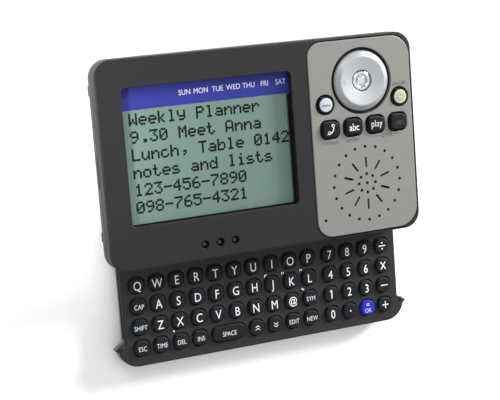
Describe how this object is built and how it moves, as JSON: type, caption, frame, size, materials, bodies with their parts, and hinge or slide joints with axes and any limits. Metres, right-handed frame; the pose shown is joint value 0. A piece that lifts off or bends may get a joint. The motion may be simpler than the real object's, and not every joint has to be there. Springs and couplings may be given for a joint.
{
  "type": "personal digital assistant",
  "caption": "Pocket organiser with a liquid crystal screen, a silver control panel with a tilting dial and speaker, and a full keyboard on a tray that slides out of its lower edge.",
  "frame": {"origin": "on the surface that the organiser lies on, under the middle of its outline with the keyboard tray open", "axes": "+X to the right of the screen, +Y towards the top edge, against the way the tray comes out, +Z out of the screen"},
  "size_m": [0.125, 0.1136, 0.0203],
  "materials": {
    "casing": "charcoal, fine spark-eroded texture",
    "rear_casing": "charcoal, fine matt texture",
    "fascia_silver": "satin silver paint with a fine metallic fleck",
    "display_lens": "clear acrylic",
    "weekday_strip": "printed blue film with white weekday names",
    "lcd": "grey-green reflective liquid crystal panel",
    "circuit_board": "green solder mask",
    "speaker_black": "black paper cone and frame",
    "contact_metal": "nickel plated",
    "light_pipe": "clear plastic",
    "battery_jacket": "printed sleeve, no lettering",
    "foot_rubber": "matt black",
    "screw_steel": "zinc plated",
    "ribbon": "amber polyimide",
    "dial_silver": "bright satin silver",
    "button_chrome": "polished",
    "menu_white": "pearl white",
    "power_green": "pale translucent green",
    "function_black": "black silicone, satin",
    "tray_plastic": "charcoal, fine matt texture",
    "key_rubber": "blue-black silicone, satin",
    "ok_key": "bright blue silicone, satin"
  },
  "bodies": {
    "body": {"front_shell": "casing", "rear_shell": "rear_casing", "mid_frame": "rear_casing", "control_fascia": "fascia_silver", "display_lens": "display_lens", "weekday_strip": "weekday_strip", "lcd_module": "lcd", "main_board": "circuit_board", "button_board": "circuit_board", "speaker": "speaker_black", "microphone": "contact_metal", "light_pipe": "light_pipe", "battery_left": "battery_jacket", "battery_right": "battery_jacket", "contact_left": "contact_metal", "contact_right": "contact_metal", "foot_lower": "foot_rubber", "foot_upper": "foot_rubber", "case_screw_left": "screw_steel", "case_screw_right": "screw_steel", "flex_cable": "ribbon"},
    "tray": {"tray_base": "tray_plastic", "tray_cover": "tray_plastic", "keyboard_board": "circuit_board", "letter_keymat": "key_rubber"},
    "door": {"battery_door": "rear_casing"},
    "nav_gimbal": {"nav_pivot": "rear_casing"},
    "nav_ring": {"nav_dial": "dial_silver"},
    "nav_centre": {"nav_button": "button_chrome"},
    "menu": {"menu_button": "menu_white"},
    "power": {"power_button": "power_green"},
    "call": {"call_button": "function_black"},
    "spell": {"spell_button": "function_black"},
    "play": {"play_button": "function_black"},
    "record": {"record_button": "function_black"},
    "press_escape": {"key_escape": "key_rubber"},
    "press_time": {"key_time": "key_rubber"},
    "press_delete": {"key_delete": "key_rubber"},
    "press_insert": {"key_insert": "key_rubber"},
    "press_space": {"key_space": "key_rubber"},
    "press_page_up": {"key_page_up": "key_rubber"},
    "press_page_down": {"key_page_down": "key_rubber"},
    "press_edit": {"key_edit": "key_rubber"},
    "press_new": {"key_new": "key_rubber"},
    "press_7": {"key_7": "key_rubber"},
    "press_8": {"key_8": "key_rubber"},
    "press_9": {"key_9": "key_rubber"},
    "press_divide": {"key_divide": "key_rubber"},
    "press_4": {"key_4": "key_rubber"},
    "press_5": {"key_5": "key_rubber"},
    "press_6": {"key_6": "key_rubber"},
    "press_multiply": {"key_multiply": "key_rubber"},
    "press_1": {"key_1": "key_rubber"},
    "press_2": {"key_2": "key_rubber"},
    "press_3": {"key_3": "key_rubber"},
    "press_minus": {"key_minus": "key_rubber"},
    "press_0": {"key_0": "key_rubber"},
    "press_point": {"key_point": "key_rubber"},
    "press_ok": {"key_ok": "ok_key"},
    "press_plus": {"key_plus": "key_rubber"}
  },
  "joints": [
    {"name": "tray_slide", "type": "slide", "parent": "body", "child": "tray", "axis": [0, 1, 0], "range_m": [0, 0.0382], "deforming": ["flex_cable"]},
    {"name": "battery_door_slide", "type": "slide", "parent": "body", "child": "door", "axis": [0, 1, 0], "range_m": [0, 0.015]},
    {"name": "nav_tilt_sideways", "type": "hinge", "parent": "body", "child": "nav_gimbal", "pos_m": [0.04065, 0.03985, 0.0159], "axis": [0, 1, 0], "range_deg": [-2, 2], "stiffness_Nm_per_rad": 0.3},
    {"name": "nav_tilt_lengthways", "type": "hinge", "parent": "nav_gimbal", "child": "nav_ring", "pos_m": [0.04065, 0.03985, 0.0159], "axis": [1, 0, 0], "range_deg": [-2, 2], "stiffness_Nm_per_rad": 0.3},
    {"name": "nav_centre_press", "type": "slide", "parent": "nav_ring", "child": "nav_centre", "axis": [0, 0, -1], "range_m": [0, 0.0005], "stiffness_N_per_m": 1500, "springref_m": -0.0002},
    {"name": "menu_press", "type": "slide", "parent": "body", "child": "menu", "axis": [0, 0, -1], "range_m": [0, 0.0005], "stiffness_N_per_m": 1200, "springref_m": -0.00025},
    {"name": "power_press", "type": "slide", "parent": "body", "child": "power", "axis": [0, 0, -1], "range_m": [0, 0.0005], "stiffness_N_per_m": 1200, "springref_m": -0.00025},
    {"name": "call_press", "type": "slide", "parent": "body", "child": "call", "axis": [0, 0, -1], "range_m": [0, 0.0005], "stiffness_N_per_m": 1200, "springref_m": -0.00025},
    {"name": "spell_press", "type": "slide", "parent": "body", "child": "spell", "axis": [0, 0, -1], "range_m": [0, 0.0005], "stiffness_N_per_m": 1200, "springref_m": -0.00025},
    {"name": "play_press", "type": "slide", "parent": "body", "child": "play", "axis": [0, 0, -1], "range_m": [0, 0.0005], "stiffness_N_per_m": 1200, "springref_m": -0.00025},
    {"name": "record_press", "type": "slide", "parent": "body", "child": "record", "axis": [0, 0, -1], "range_m": [0, 0.0005], "stiffness_N_per_m": 1200, "springref_m": -0.00025},
    {"name": "press_escape_travel", "type": "slide", "parent": "tray", "child": "press_escape", "axis": [0, 0, -1], "range_m": [0, 0.0005], "stiffness_N_per_m": 1000, "springref_m": -0.0002},
    {"name": "press_time_travel", "type": "slide", "parent": "tray", "child": "press_time", "axis": [0, 0, -1], "range_m": [0, 0.0005], "stiffness_N_per_m": 1000, "springref_m": -0.0002},
    {"name": "press_delete_travel", "type": "slide", "parent": "tray", "child": "press_delete", "axis": [0, 0, -1], "range_m": [0, 0.0005], "stiffness_N_per_m": 1000, "springref_m": -0.0002},
    {"name": "press_insert_travel", "type": "slide", "parent": "tray", "child": "press_insert", "axis": [0, 0, -1], "range_m": [0, 0.0005], "stiffness_N_per_m": 1000, "springref_m": -0.0002},
    {"name": "press_space_travel", "type": "slide", "parent": "tray", "child": "press_space", "axis": [0, 0, -1], "range_m": [0, 0.0005], "stiffness_N_per_m": 1000, "springref_m": -0.0002},
    {"name": "press_page_up_travel", "type": "slide", "parent": "tray", "child": "press_page_up", "axis": [0, 0, -1], "range_m": [0, 0.0005], "stiffness_N_per_m": 1000, "springref_m": -0.0002},
    {"name": "press_page_down_travel", "type": "slide", "parent": "tray", "child": "press_page_down", "axis": [0, 0, -1], "range_m": [0, 0.0005], "stiffness_N_per_m": 1000, "springref_m": -0.0002},
    {"name": "press_edit_travel", "type": "slide", "parent": "tray", "child": "press_edit", "axis": [0, 0, -1], "range_m": [0, 0.0005], "stiffness_N_per_m": 1000, "springref_m": -0.0002},
    {"name": "press_new_travel", "type": "slide", "parent": "tray", "child": "press_new", "axis": [0, 0, -1], "range_m": [0, 0.0005], "stiffness_N_per_m": 1000, "springref_m": -0.0002},
    {"name": "press_7_travel", "type": "slide", "parent": "tray", "child": "press_7", "axis": [0, 0, -1], "range_m": [0, 0.0005], "stiffness_N_per_m": 1000, "springref_m": -0.0002},
    {"name": "press_8_travel", "type": "slide", "parent": "tray", "child": "press_8", "axis": [0, 0, -1], "range_m": [0, 0.0005], "stiffness_N_per_m": 1000, "springref_m": -0.0002},
    {"name": "press_9_travel", "type": "slide", "parent": "tray", "child": "press_9", "axis": [0, 0, -1], "range_m": [0, 0.0005], "stiffness_N_per_m": 1000, "springref_m": -0.0002},
    {"name": "press_divide_travel", "type": "slide", "parent": "tray", "child": "press_divide", "axis": [0, 0, -1], "range_m": [0, 0.0005], "stiffness_N_per_m": 1000, "springref_m": -0.0002},
    {"name": "press_4_travel", "type": "slide", "parent": "tray", "child": "press_4", "axis": [0, 0, -1], "range_m": [0, 0.0005], "stiffness_N_per_m": 1000, "springref_m": -0.0002},
    {"name": "press_5_travel", "type": "slide", "parent": "tray", "child": "press_5", "axis": [0, 0, -1], "range_m": [0, 0.0005], "stiffness_N_per_m": 1000, "springref_m": -0.0002},
    {"name": "press_6_travel", "type": "slide", "parent": "tray", "child": "press_6", "axis": [0, 0, -1], "range_m": [0, 0.0005], "stiffness_N_per_m": 1000, "springref_m": -0.0002},
    {"name": "press_multiply_travel", "type": "slide", "parent": "tray", "child": "press_multiply", "axis": [0, 0, -1], "range_m": [0, 0.0005], "stiffness_N_per_m": 1000, "springref_m": -0.0002},
    {"name": "press_1_travel", "type": "slide", "parent": "tray", "child": "press_1", "axis": [0, 0, -1], "range_m": [0, 0.0005], "stiffness_N_per_m": 1000, "springref_m": -0.0002},
    {"name": "press_2_travel", "type": "slide", "parent": "tray", "child": "press_2", "axis": [0, 0, -1], "range_m": [0, 0.0005], "stiffness_N_per_m": 1000, "springref_m": -0.0002},
    {"name": "press_3_travel", "type": "slide", "parent": "tray", "child": "press_3", "axis": [0, 0, -1], "range_m": [0, 0.0005], "stiffness_N_per_m": 1000, "springref_m": -0.0002},
    {"name": "press_minus_travel", "type": "slide", "parent": "tray", "child": "press_minus", "axis": [0, 0, -1], "range_m": [0, 0.0005], "stiffness_N_per_m": 1000, "springref_m": -0.0002},
    {"name": "press_0_travel", "type": "slide", "parent": "tray", "child": "press_0", "axis": [0, 0, -1], "range_m": [0, 0.0005], "stiffness_N_per_m": 1000, "springref_m": -0.0002},
    {"name": "press_point_travel", "type": "slide", "parent": "tray", "child": "press_point", "axis": [0, 0, -1], "range_m": [0, 0.0005], "stiffness_N_per_m": 1000, "springref_m": -0.0002},
    {"name": "press_ok_travel", "type": "slide", "parent": "tray", "child": "press_ok", "axis": [0, 0, -1], "range_m": [0, 0.0005], "stiffness_N_per_m": 1000, "springref_m": -0.0002},
    {"name": "press_plus_travel", "type": "slide", "parent": "tray", "child": "press_plus", "axis": [0, 0, -1], "range_m": [0, 0.0005], "stiffness_N_per_m": 1000, "springref_m": -0.0002}
  ]
}
